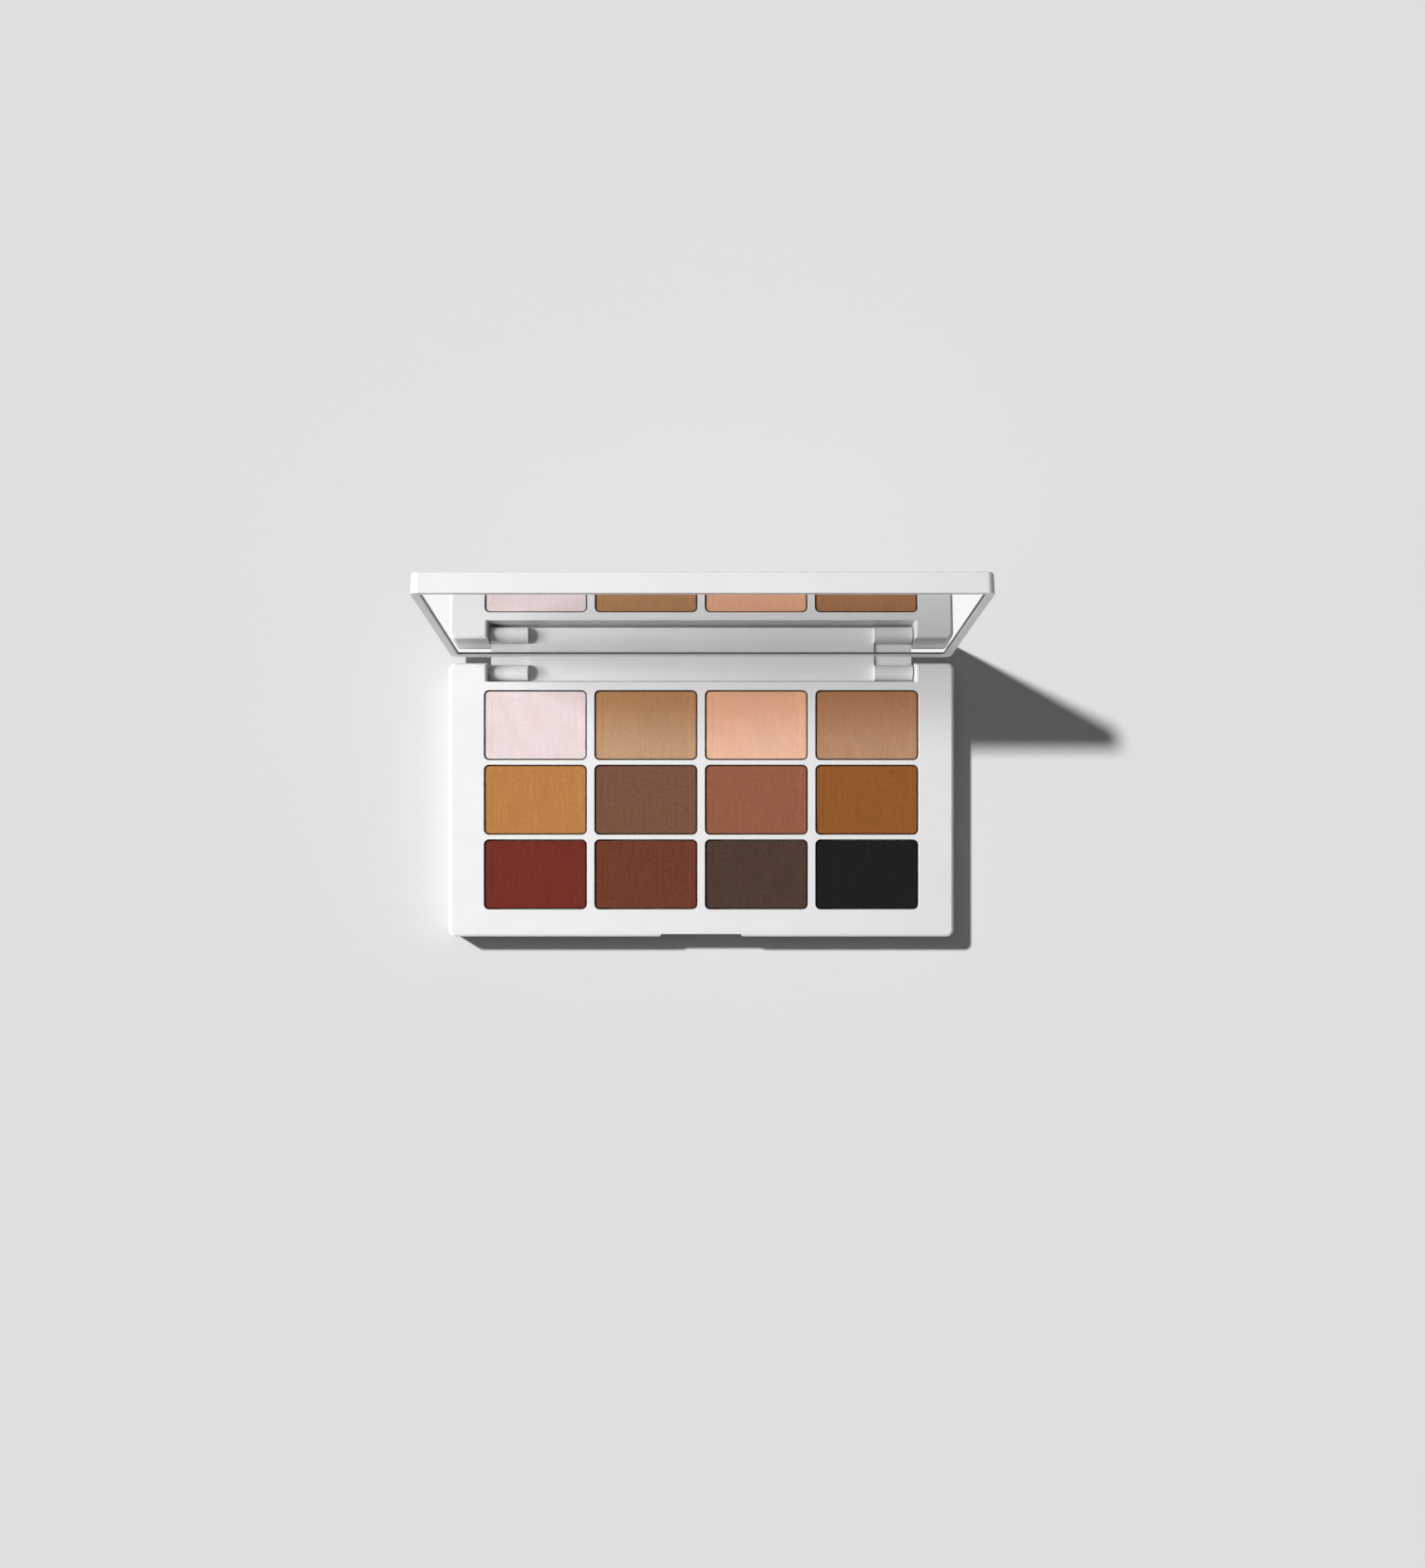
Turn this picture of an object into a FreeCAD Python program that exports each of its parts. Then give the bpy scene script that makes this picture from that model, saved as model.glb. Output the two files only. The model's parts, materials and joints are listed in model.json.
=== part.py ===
import FreeCAD, Part
import math
import os

import Sketcher
from FreeCAD import Placement, Rotation, Vector

# Eyeshadow palette with a mirror lid and twelve pressed powders.
#
# Frame: millimetres, origin at the centre of the base's underside, +X right, +Y to the hinge, +Z up.
# The lid and what it carries are drawn closed, in a frame whose X axis is the hinge axis, and are
# then turned to the open position, where the lid leans back on the sill of the base.

DIMENSIONS = {
    # base
    "case_width": 150.0,
    "case_depth": 81.2,
    "case_corner": 2.0,
    "base_height": 12.0,
    "base_wall": 1.9,
    "base_top_round": 1.0,
    "base_foot_round": 0.5,
    "notch_width": 24.8,
    "notch_depth": 0.75,
    "notch_slope": 0.6,
    # wells, pans and powders
    "columns": 4,
    "rows": 3,
    "pitch_across": 32.8,
    "pitch_deep": 22.15,
    "well_width": 30.6,
    "well_length": 20.8,
    "well_corner": 1.6,
    "well_depth": 4.0,
    "well_edge_round": 0.12,
    "well_floor": 1.0,
    "pan_gap": 0.25,
    "pan_height": 3.2,
    "pan_sheet": 0.2,
    "powder_above_pan": 0.3,
    "powder_edge_round": 0.3,
    "glue_width": 20.0,
    "glue_length": 12.0,
    "glue_thick": 0.15,
    # underside
    "plate_thick": 1.2,
    "plate_gap": 0.2,
    "plate_ledge": 1.2,
    "plate_corner": 1.2,
    "label_width": 70.0,
    "label_length": 22.0,
    "label_thick": 0.1,
    "label_recess": 0.12,
    "label_corner": 2.0,
    "label_middle": 17.0,
    "core_width": 3.0,
    "core_length": 17.0,
    "core_inset": 1.4,
    "deck_thick": 1.8,
    # magnets
    "magnet_width": 10.0,
    "magnet_length": 3.0,
    "magnet_thick": 1.5,
    "magnet_gap": 0.1,
    "magnet_offset": 45.0,
    "magnet_from_front": 4.6,
    "magnet_cover": 1.0,
    # hinge
    "hinge_from_rear": 2.4,
    "hinge_drop": 4.95,
    "barrel_radius": 2.4,
    "barrel_inner": 51.8,
    "barrel_outer": 63.1,
    "trough_half": 63.5,
    "trough_depth": 5.6,
    "sill_height": 4.3,
    "flange_thick": 1.3,
    "rib_thick": 1.9,
    "pin_radius": 0.8,
    "pin_running_gap": 0.05,
    "pin_inner": 53.3,
    "pin_end_recess": 0.4,
    "bore_end_gap": 0.3,
    "open_angle": 94.0,
    # lid
    "lid_gap": 0.35,
    "lid_thick": 5.8,
    "lid_draft": 2.0,
    "lid_round": 1.0,
    "lid_skin": 1.6,
    "rim_side": 2.25,
    "rim_rear": 3.7,
    "rim_bevel": 0.25,
    "mirror_corner": 1.0,
    "mirror_recess": 0.15,
    "mirror_thick": 1.2,
    "mirror_gap": 0.15,
    "mirror_bevel": 0.1,
    "tape_thick": 0.2,
    "tape_inset": 3.0,
    "cell_width": 21.6,
    "cell_length": 19.6,
    "cell_pitch_across": 23.0,
    "cell_pitch_deep": 21.0,
    "cells_across": 6,
    "cells_deep": 3,
    "cell_corner": 1.5,
    "skirt_round": 0.45,
}

OVERCUT = 1.0  # how far a cut runs past the face it starts from
TOLERANCE = 0.001

doc = FreeCAD.newDocument("EyeshadowPalette")
sheet = doc.addObject("Spreadsheet::Sheet", "Sizes")
for line, (alias, value) in enumerate(DIMENSIONS.items(), start=1):
    sheet.set(f"A{line}", alias)
    sheet.set(f"B{line}", str(value))
    sheet.setAlias(f"B{line}", alias)
doc.recompute()


class Size:
    """A length with the sheet expression that it is worked out by."""

    def __init__(self, number, text):
        self.number = float(number)
        self.text = text

    def _join(self, other, sign, number):
        return Size(number, f"({self.text} {sign} {as_size(other).text})")

    def __add__(self, other):
        return self._join(other, "+", self.number + as_size(other).number)

    def __sub__(self, other):
        return self._join(other, "-", self.number - as_size(other).number)

    def __mul__(self, other):
        return self._join(other, "*", self.number * as_size(other).number)

    def __truediv__(self, other):
        return self._join(other, "/", self.number / as_size(other).number)

    def __neg__(self):
        return Size(-self.number, f"(0 - {self.text})")


def as_size(value):
    if isinstance(value, Size):
        return value
    return Size(value, f"({float(value)})")


def size(alias):
    return Size(getattr(sheet, alias), f"Sizes.{alias}")


def number(alias):
    return float(getattr(sheet, alias))


# ---------------------------------------------------------------- bodies, sketches and features

def new_body(label):
    body = doc.addObject("PartDesign::Body", label)
    body.Label = label
    return body


def origin_plane(body, role):
    return next(feature for feature in body.Origin.OriginFeatures if feature.Role == role)


def new_sketch(body, name, role="XY_Plane", across=0, up=0, out=0):
    """Sketch on an origin plane, moved by across and up within it and by out along its normal."""
    sketch = body.newObject("Sketcher::SketchObject", f"{body.Name}_{name}")
    sketch.AttachmentSupport = [(origin_plane(body, role), "")]
    sketch.MapMode = "FlatFace"
    for axis, distance in (("x", across), ("y", up), ("z", out)):
        sketch.setExpression(f"AttachmentOffset.Base.{axis}", as_size(distance).text)
    return sketch


def bind(sketch, constraint, value):
    """Add a dimension to a sketch and tie it to the sheet."""
    index = sketch.addConstraint(constraint)
    sketch.setExpression(f"Constraints[{index}]", as_size(value).text)


def rounded_rectangle(sketch, width, length, radius):
    """Rectangle about the sketch's origin, with arcs at its corners."""
    half_w = as_size(width).number / 2
    half_l = as_size(length).number / 2
    corner = as_size(radius).number
    in_w = half_w - corner
    in_l = half_l - corner
    lines = [
        ((-in_w, half_l), (in_w, half_l)),
        ((half_w, in_l), (half_w, -in_l)),
        ((in_w, -half_l), (-in_w, -half_l)),
        ((-half_w, -in_l), (-half_w, in_l)),
    ]
    for start, end in lines:
        sketch.addGeometry(Part.LineSegment(Vector(*start, 0), Vector(*end, 0)))
    quarter = math.pi / 2
    centres = [(in_w, in_l, 0), (in_w, -in_l, 3), (-in_w, -in_l, 2), (-in_w, in_l, 1)]
    for x, y, quadrant in centres:
        full_turn = Part.Circle(Vector(x, y, 0), Vector(0, 0, 1), corner)
        first = quadrant * quarter
        sketch.addGeometry(Part.ArcOfCircle(full_turn, first, first + quarter))
    # each line runs clockwise into an arc, whose end point is the one met first
    for side in range(4):
        arc = 4 + side
        following = (side + 1) % 4
        sketch.addConstraint(Sketcher.Constraint("Tangent", side, 2, arc, 2))
        sketch.addConstraint(Sketcher.Constraint("Tangent", arc, 1, following, 1))
    for side in (0, 2):
        sketch.addConstraint(Sketcher.Constraint("Horizontal", side))
        sketch.addConstraint(Sketcher.Constraint("Vertical", side + 1))
    for arc in (5, 6, 7):
        sketch.addConstraint(Sketcher.Constraint("Equal", 4, arc))
    sketch.addConstraint(Sketcher.Constraint("Symmetric", 0, 1, 2, 1, -1, 1))
    bind(sketch, Sketcher.Constraint("DistanceX", 3, 1, 1, 1, 2 * half_w), width)
    bind(sketch, Sketcher.Constraint("DistanceY", 2, 1, 0, 1, 2 * half_l), length)
    bind(sketch, Sketcher.Constraint("Radius", 4, corner), radius)


def place_point(sketch, geometry, end, x, y):
    """Fix a point of a sketch by its signed distances from the origin."""
    for kind, value in (("DistanceX", as_size(x)), ("DistanceY", as_size(y))):
        if abs(value.number) < TOLERANCE:
            axis = -2 if kind == "DistanceX" else -1
            sketch.addConstraint(Sketcher.Constraint("PointOnObject", geometry, end, axis))
        elif value.number > 0:
            bind(sketch, Sketcher.Constraint(kind, -1, 1, geometry, end, value.number), value)
        else:
            bind(sketch, Sketcher.Constraint(kind, geometry, end, -1, 1, -value.number), -value)


def polygon(sketch, corners):
    """Closed outline of straight lines through corners given as pairs of sizes."""
    points = [Vector(as_size(x).number, as_size(y).number, 0) for x, y in corners]
    count = len(points)
    for index, point in enumerate(points):
        sketch.addGeometry(Part.LineSegment(point, points[(index + 1) % count]))
    for index in range(count):
        sketch.addConstraint(Sketcher.Constraint("Coincident", index, 2, (index + 1) % count, 1))
    for index, (x, y) in enumerate(corners):
        place_point(sketch, index, 1, x, y)


def circle(sketch, radius):
    """Circle about the sketch's origin."""
    value = as_size(radius).number
    sketch.addGeometry(Part.Circle(Vector(0, 0, 0), Vector(0, 0, 1), value))
    sketch.addConstraint(Sketcher.Constraint("Coincident", 0, 3, -1, 1))
    bind(sketch, Sketcher.Constraint("Radius", 0, value), radius)


def add_feature(body, kind, sketch, length, reversed_side=False, symmetric=False):
    feature = body.newObject(f"PartDesign::{kind}", sketch.Name + "_" + kind)
    feature.Profile = sketch
    feature.setExpression("Length", as_size(length).text)
    feature.Reversed = reversed_side
    if symmetric:
        feature.SideType = "Symmetric"
    sketch.Visibility = False
    doc.recompute()
    return feature


def pad(body, sketch, length, reversed_side=False, symmetric=False):
    before = volume(body)
    feature = add_feature(body, "Pad", sketch, length, reversed_side, symmetric)
    require(feature.Shape.Volume > before, f"{feature.Name} adds nothing")
    return feature


def pocket(body, sketch, length, reversed_side=False, symmetric=False):
    before = volume(body)
    feature = add_feature(body, "Pocket", sketch, length, reversed_side, symmetric)
    require(feature.Shape.Volume < before - TOLERANCE, f"{feature.Name} cuts nothing")
    return feature


def volume(body):
    return 0.0 if body.Shape.isNull() else body.Shape.Volume


def require(condition, message):
    if not condition:
        raise RuntimeError(message)


def round_edges(body, name, kind, radius, wanted):
    """Fillet or chamfer the edges of the body's last feature that the test wanted picks."""
    base = body.Tip
    names = [f"Edge{i}" for i, edge in enumerate(base.Shape.Edges, start=1) if wanted(edge)]
    require(names, f"{body.Label} has no edges for {name}")
    feature = body.newObject(f"PartDesign::{kind}", f"{body.Name}_{name}")
    feature.Base = (base, names)
    feature.setExpression("Radius" if kind == "Fillet" else "Size", as_size(radius).text)
    doc.recompute()
    require(not feature.Shape.isNull() and feature.Shape.isValid(), f"{feature.Name} isn't valid")
    return feature


def at_height(height):
    """Edge test: the whole edge lies at one height."""
    return lambda edge: (abs(edge.BoundBox.ZMin - height) < TOLERANCE
                         and abs(edge.BoundBox.ZMax - height) < TOLERANCE)


def grid(body, feature, sketch, across, deep, pitch_across, pitch_deep):
    """Repeat a feature in columns and rows, starting from its corner place."""
    grid_feature = body.newObject("PartDesign::MultiTransform", feature.Name + "_grid")
    grid_feature.Originals = [feature]
    patterns = []
    for direction, count, pitch in (("H_Axis", across, pitch_across), ("V_Axis", deep, pitch_deep)):
        pattern = body.newObject("PartDesign::LinearPattern", f"{grid_feature.Name}_{direction}")
        pattern.Direction = (sketch, [direction])
        pattern.setExpression("Length", ((count - 1) * pitch).text)
        pattern.setExpression("Occurrences", count.text)
        patterns.append(pattern)
    grid_feature.Transformations = patterns
    body.Tip = grid_feature
    doc.recompute()
    return grid_feature


def mirror_feature(body, feature):
    """Repeat a feature on the other side of the palette's middle plane."""
    mirrored = body.newObject("PartDesign::Mirrored", feature.Name + "_mirrored")
    mirrored.Originals = [feature]
    mirrored.MirrorPlane = (origin_plane(body, "YZ_Plane"), [""])
    body.Tip = mirrored
    doc.recompute()
    return mirrored


def put(thing, x=0, y=0, z=0):
    """Bind an object's place to the sheet."""
    for axis, distance in (("x", x), ("y", y), ("z", z)):
        thing.setExpression(f"Placement.Base.{axis}", as_size(distance).text)


# ---------------------------------------------------------------- sizes worked out from the sheet

half_width = size("case_width") / 2
half_depth = size("case_depth") / 2
top = size("base_height")
hinge_y = half_depth - size("hinge_from_rear")
hinge_z = top - size("hinge_drop")
trough_front = half_depth - size("trough_depth")
well_underside = top - size("well_depth") - size("well_floor")
recess_width = size("case_width") - size("base_wall") * 2
recess_rear = trough_front - size("core_inset")
recess_front = -half_depth + size("base_wall")
recess_length = recess_rear - recess_front
recess_middle = (recess_rear + recess_front) / 2
magnet_y = -half_depth + size("magnet_from_front")
side_margin = half_width - size("pitch_across") * 1.5 - size("well_width") / 2

# in the lid's own frame, closed, with the hinge axis as its origin
rim_plane = size("hinge_drop") + size("lid_gap")
lid_rear = size("hinge_from_rear")
lid_front = lid_rear - size("case_depth")
lid_middle = (lid_rear + lid_front) / 2
mirror_rear = lid_rear - size("rim_rear")
mirror_front = lid_front + size("rim_side")
mirror_middle = (mirror_rear + mirror_front) / 2
mirror_hole_width = size("case_width") - size("rim_side") * 2
mirror_hole_length = mirror_rear - mirror_front
mirror_face = rim_plane + size("mirror_recess")
mirror_back = mirror_face + size("mirror_thick")
tape_back = mirror_back + size("tape_thick")
lid_outside = rim_plane + size("lid_thick")
lid_magnet_y = lid_front + size("magnet_from_front")


# ---------------------------------------------------------------- base

def make_base_deck():
    body = new_body("base_deck")
    outline = new_sketch(body, "outline")
    rounded_rectangle(outline, size("case_width"), size("case_depth"), size("case_corner"))
    pad(body, outline, top)

    trough = new_sketch(body, "trough", "YZ_Plane")
    polygon(trough, [
        (trough_front, size("sill_height")),
        (half_depth + OVERCUT, size("sill_height")),
        (half_depth + OVERCUT, top + OVERCUT),
        (trough_front, top + OVERCUT),
    ])
    pocket(body, trough, size("trough_half") * 2, symmetric=True)

    # the trough's front edge stays sharp, and so do the sill's edges
    def outer_top_edge(edge):
        on_front_of_trough = (abs(edge.BoundBox.YMin - trough_front.number) < TOLERANCE
                              and abs(edge.BoundBox.YMax - trough_front.number) < TOLERANCE)
        return at_height(top.number)(edge) and not on_front_of_trough

    round_edges(body, "top_round", "Fillet", size("base_top_round"), outer_top_edge)
    round_edges(body, "foot_round", "Fillet", size("base_foot_round"), at_height(0.0))

    notch = new_sketch(body, "notch", up=-half_depth)
    half_notch = size("notch_width") / 2
    polygon(notch, [
        (-half_notch, -as_size(OVERCUT)),
        (half_notch, -as_size(OVERCUT)),
        (half_notch, as_size(0)),
        (half_notch - size("notch_slope"), size("notch_depth")),
        (-half_notch + size("notch_slope"), size("notch_depth")),
        (-half_notch, as_size(0)),
    ])
    pocket(body, notch, top, reversed_side=True)

    make_wells(body)
    make_underside(body)

    pin_hole = new_sketch(body, "pin_hole", "YZ_Plane", across=hinge_y, up=hinge_z,
                          out=size("trough_half") - OVERCUT)
    circle(pin_hole, size("pin_radius"))
    hole = pocket(body, pin_hole, half_width - size("trough_half") + OVERCUT * 2, reversed_side=True)
    mirror_feature(body, hole)
    return body


def make_wells(body):
    """Twelve wells for the pans, cut down from the deck."""
    well = new_sketch(body, "well", out=top,
                      across=-(size("columns") - 1) * size("pitch_across") / 2,
                      up=-(size("rows") - 1) * size("pitch_deep") / 2)
    rounded_rectangle(well, size("well_width"), size("well_length"), size("well_corner"))
    cut = pocket(body, well, size("well_depth"))
    grid(body, cut, well, size("columns"), size("rows"), size("pitch_across"), size("pitch_deep"))

    wells_across = half_width.number - side_margin.number + TOLERANCE
    wells_deep = (number("rows") * number("pitch_deep")) / 2

    def well_edge(edge):
        box = edge.BoundBox
        inside = (max(abs(box.XMin), abs(box.XMax)) < wells_across
                  and max(abs(box.YMin), abs(box.YMax)) < wells_deep)
        return inside and at_height(top.number)(edge)

    round_edges(body, "well_round", "Fillet", size("well_edge_round"), well_edge)


def make_underside(body):
    """Recess for the bottom plate, the hollow above it, cores in the margins and magnet pockets."""
    recess = new_sketch(body, "plate_recess", up=recess_middle)
    rounded_rectangle(recess, recess_width, recess_length, size("plate_corner"))
    pocket(body, recess, size("plate_thick"), reversed_side=True)

    ledge = size("plate_ledge") * 2
    hollow = new_sketch(body, "hollow", up=recess_middle)
    rounded_rectangle(hollow, recess_width - ledge, recess_length - ledge, size("plate_corner"))
    pocket(body, hollow, well_underside, reversed_side=True)

    core_height = top - size("deck_thick")
    core_radius = size("core_width") / 4
    well_wall_x = half_width - side_margin + size("core_inset")
    core_x = well_wall_x + size("core_width") / 2
    for side, name in ((1, "right"), (-1, "left")):
        core = new_sketch(body, "core_" + name, across=core_x * side, up=-size("pitch_deep"))
        rounded_rectangle(core, size("core_width"), size("core_length"), core_radius)
        cut = pocket(body, core, core_height, reversed_side=True)
        row_pattern(body, cut, core)

    for side, name in ((1, "right"), (-1, "left")):
        seat = new_sketch(body, "magnet_seat_" + name, across=size("magnet_offset") * side,
                          up=magnet_y)
        rounded_rectangle(seat, size("magnet_width") + size("magnet_gap") * 2,
                          size("magnet_length") + size("magnet_gap") * 2, size("magnet_gap") * 2)
        pocket(body, seat, top - size("magnet_cover"), reversed_side=True)


def row_pattern(body, feature, sketch):
    """Repeat a feature once for each row of wells."""
    pattern = body.newObject("PartDesign::LinearPattern", feature.Name + "_rows")
    pattern.Originals = [feature]
    pattern.Direction = (sketch, ["V_Axis"])
    pattern.setExpression("Length", ((size("rows") - 1) * size("pitch_deep")).text)
    pattern.setExpression("Occurrences", size("rows").text)
    body.Tip = pattern
    doc.recompute()


def make_bottom_plate():
    body = new_body("bottom_plate")
    gap = size("plate_gap") * 2
    outline = new_sketch(body, "outline")
    rounded_rectangle(outline, recess_width - gap, recess_length - gap, size("plate_corner"))
    pad(body, outline, size("plate_thick"))
    label_seat = new_sketch(body, "label_seat", up=size("label_middle") - recess_middle)
    rounded_rectangle(label_seat, size("label_width"), size("label_length"), size("label_corner"))
    pocket(body, label_seat, size("label_recess"), reversed_side=True)
    put(body, 0, recess_middle)
    return body


def make_bottom_label():
    body = new_body("bottom_label")
    outline = new_sketch(body, "outline")
    rounded_rectangle(outline, size("label_width"), size("label_length"), size("label_corner"))
    pad(body, outline, size("label_thick"))
    put(body, 0, size("label_middle"), size("label_recess") - size("label_thick"))
    return body


# ---------------------------------------------------------------- pans, powders and glue

ROW_NAMES = ("front", "middle", "rear")
POWDER_NAMES = (
    ("oxblood", "redwood", "dark_brown", "black"),
    ("caramel", "taupe", "rosewood", "chestnut"),
    ("light_pink", "tan", "peach", "sienna"),
)


def well_place(column, row):
    """Middle of a well, counted from the front left."""
    x = (as_size(column) - (size("columns") - 1) / 2) * size("pitch_across")
    y = (as_size(row) - (size("rows") - 1) / 2) * size("pitch_deep")
    return x, y


well_bottom = top - size("well_depth")
pan_bottom = well_bottom + size("glue_thick")
pan_width = size("well_width") - size("pan_gap") * 2
pan_length = size("well_length") - size("pan_gap") * 2
pan_corner = size("well_corner") - size("pan_gap")
cake_width = pan_width - size("pan_sheet") * 2
cake_length = pan_length - size("pan_sheet") * 2
cake_corner = pan_corner - size("pan_sheet")


def make_pan(label, x, y):
    """Shallow cup pressed from aluminium sheet."""
    body = new_body(label)
    outline = new_sketch(body, "outline")
    rounded_rectangle(outline, pan_width, pan_length, pan_corner)
    pad(body, outline, size("pan_height"))
    inside = new_sketch(body, "inside", out=size("pan_height"))
    rounded_rectangle(inside, cake_width, cake_length, cake_corner)
    pocket(body, inside, size("pan_height") - size("pan_sheet"))
    put(body, x, y, pan_bottom)
    return body


def make_powder(label, x, y):
    """Pressed cake that fills a pan and stands a little above its rim."""
    body = new_body(label)
    outline = new_sketch(body, "outline")
    rounded_rectangle(outline, cake_width, cake_length, cake_corner)
    height = size("pan_height") - size("pan_sheet") + size("powder_above_pan")
    pad(body, outline, height)
    round_edges(body, "shoulder", "Fillet", size("powder_edge_round"), at_height(height.number))
    put(body, x, y, pan_bottom + size("pan_sheet"))
    return body


def make_glue():
    """One flat dab of glue under each pan, all in one node."""
    dabs = []
    for row in range(int(number("rows"))):
        for column in range(int(number("columns"))):
            x, y = well_place(column, row)
            dab = doc.addObject("Part::Box", f"glue_dab_{row}_{column}")
            dab.setExpression("Length", "Sizes.glue_width")
            dab.setExpression("Width", "Sizes.glue_length")
            dab.setExpression("Height", "Sizes.glue_thick")
            put(dab, x - size("glue_width") / 2, y - size("glue_length") / 2, well_bottom)
            dabs.append(dab)
    group = doc.addObject("Part::Compound", "pan_glue")
    group.Label = "pan_glue"
    group.Links = dabs
    return group


# ---------------------------------------------------------------- hinge pins and magnets

def make_hinge_pin(label, side):
    """Steel pin pressed into the end of the base, in line with the hinge axis."""
    pin = doc.addObject("Part::Cylinder", label)
    pin.Label = label
    outer_end = half_width - size("pin_end_recess")
    pin.setExpression("Radius", "Sizes.pin_radius")
    pin.setExpression("Height", (outer_end - size("pin_inner")).text)
    pin.Placement.Rotation = Rotation(Vector(0, 1, 0), 90)
    start = size("pin_inner") if side > 0 else -outer_end
    put(pin, start, hinge_y, hinge_z)
    return pin


def make_magnet(label):
    magnet = doc.addObject("Part::Box", label)
    magnet.Label = label
    magnet.setExpression("Length", "Sizes.magnet_width")
    magnet.setExpression("Width", "Sizes.magnet_length")
    magnet.setExpression("Height", "Sizes.magnet_thick")
    return magnet


def make_base_magnet(label, side):
    magnet = make_magnet(label)
    put(magnet, size("magnet_offset") * side - size("magnet_width") / 2,
        magnet_y - size("magnet_length") / 2,
        top - size("magnet_cover") - size("magnet_thick"))
    return magnet


# ---------------------------------------------------------------- lid

def turn_with_lid(thing, x=0, y=0, z=0):
    """Place a piece of the lid, given where it is with the lid closed, on the open lid."""
    turn = Placement(Vector(0, hinge_y.number, hinge_z.number),
                     Rotation(Vector(1, 0, 0), -number("open_angle")))
    thing.Placement = turn * Placement(Vector(*(as_size(v).number for v in (x, y, z))), Rotation())


def skirt_section(sketch, inner, upper):
    """Upright wall at the lid's rear whose foot is rounded about the hinge axis."""
    outer = lid_rear.number
    inside = as_size(inner).number
    height = as_size(upper).number
    foot = -(outer ** 2 - inside ** 2) ** 0.5
    sketch.addGeometry(Part.LineSegment(Vector(inside, foot, 0), Vector(inside, height, 0)))
    sketch.addGeometry(Part.LineSegment(Vector(inside, height, 0), Vector(outer, height, 0)))
    sketch.addGeometry(Part.LineSegment(Vector(outer, height, 0), Vector(outer, 0, 0)))
    middle = Vector(outer, foot, 0).normalize() * outer
    sketch.addGeometry(Part.Arc(Vector(inside, foot, 0), middle, Vector(outer, 0, 0)))
    for line in range(2):
        sketch.addConstraint(Sketcher.Constraint("Coincident", line, 2, line + 1, 1))
    sketch.addConstraint(Sketcher.Constraint("Coincident", 2, 2, 3, 2))
    sketch.addConstraint(Sketcher.Constraint("Coincident", 3, 1, 0, 1))
    sketch.addConstraint(Sketcher.Constraint("Coincident", 3, 3, -1, 1))
    sketch.addConstraint(Sketcher.Constraint("Vertical", 0))
    sketch.addConstraint(Sketcher.Constraint("Horizontal", 1))
    sketch.addConstraint(Sketcher.Constraint("Vertical", 2))
    sketch.addConstraint(Sketcher.Constraint("PointOnObject", 2, 2, -1))
    bind(sketch, Sketcher.Constraint("Radius", 3, outer), lid_rear)
    bind(sketch, Sketcher.Constraint("DistanceX", -1, 1, 0, 1, inside), inner)
    bind(sketch, Sketcher.Constraint("DistanceY", -1, 1, 0, 2, height), upper)


def make_lid_shell():
    body = new_body("lid_shell")
    outline = new_sketch(body, "outline", up=lid_middle, out=rim_plane)
    rounded_rectangle(outline, size("case_width"), size("case_depth"), size("case_corner"))
    shell = pad(body, outline, size("lid_thick"))
    shell.setExpression("TaperAngle", "-Sizes.lid_draft")
    doc.recompute()
    round_edges(body, "outer_round", "Fillet", size("lid_round"), at_height(lid_outside.number))

    mirror_seat = new_sketch(body, "mirror_seat", up=mirror_middle, out=rim_plane)
    rounded_rectangle(mirror_seat, mirror_hole_width, mirror_hole_length, size("mirror_corner"))
    pocket(body, mirror_seat, tape_back - rim_plane, reversed_side=True)
    seat_half = mirror_hole_width.number / 2 + TOLERANCE

    def seat_edge(edge):
        box = edge.BoundBox
        inside = max(abs(box.XMin), abs(box.XMax)) < seat_half and box.YMax < mirror_rear.number + TOLERANCE
        return inside and at_height(rim_plane.number)(edge)

    round_edges(body, "rim_bevel", "Chamfer", size("rim_bevel"), seat_edge)

    cell = new_sketch(body, "cell", out=tape_back,
                      across=-(size("cells_across") - 1) * size("cell_pitch_across") / 2,
                      up=mirror_middle - (size("cells_deep") - 1) * size("cell_pitch_deep") / 2)
    rounded_rectangle(cell, size("cell_width"), size("cell_length"), size("cell_corner"))
    hollow = pocket(body, cell, lid_outside - size("lid_skin") - tape_back, reversed_side=True)
    grid(body, hollow, cell, size("cells_across"), size("cells_deep"),
         size("cell_pitch_across"), size("cell_pitch_deep"))

    for side, name in ((1, "right"), (-1, "left")):
        seat = new_sketch(body, "magnet_seat_" + name, across=size("magnet_offset") * side,
                          up=lid_magnet_y, out=tape_back)
        rounded_rectangle(seat, size("magnet_width") + size("magnet_gap") * 2,
                          size("magnet_length") + size("magnet_gap") * 2, size("magnet_gap") * 2)
        pocket(body, seat, size("magnet_thick"), reversed_side=True)

    make_lid_hinge(body)
    return body


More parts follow.
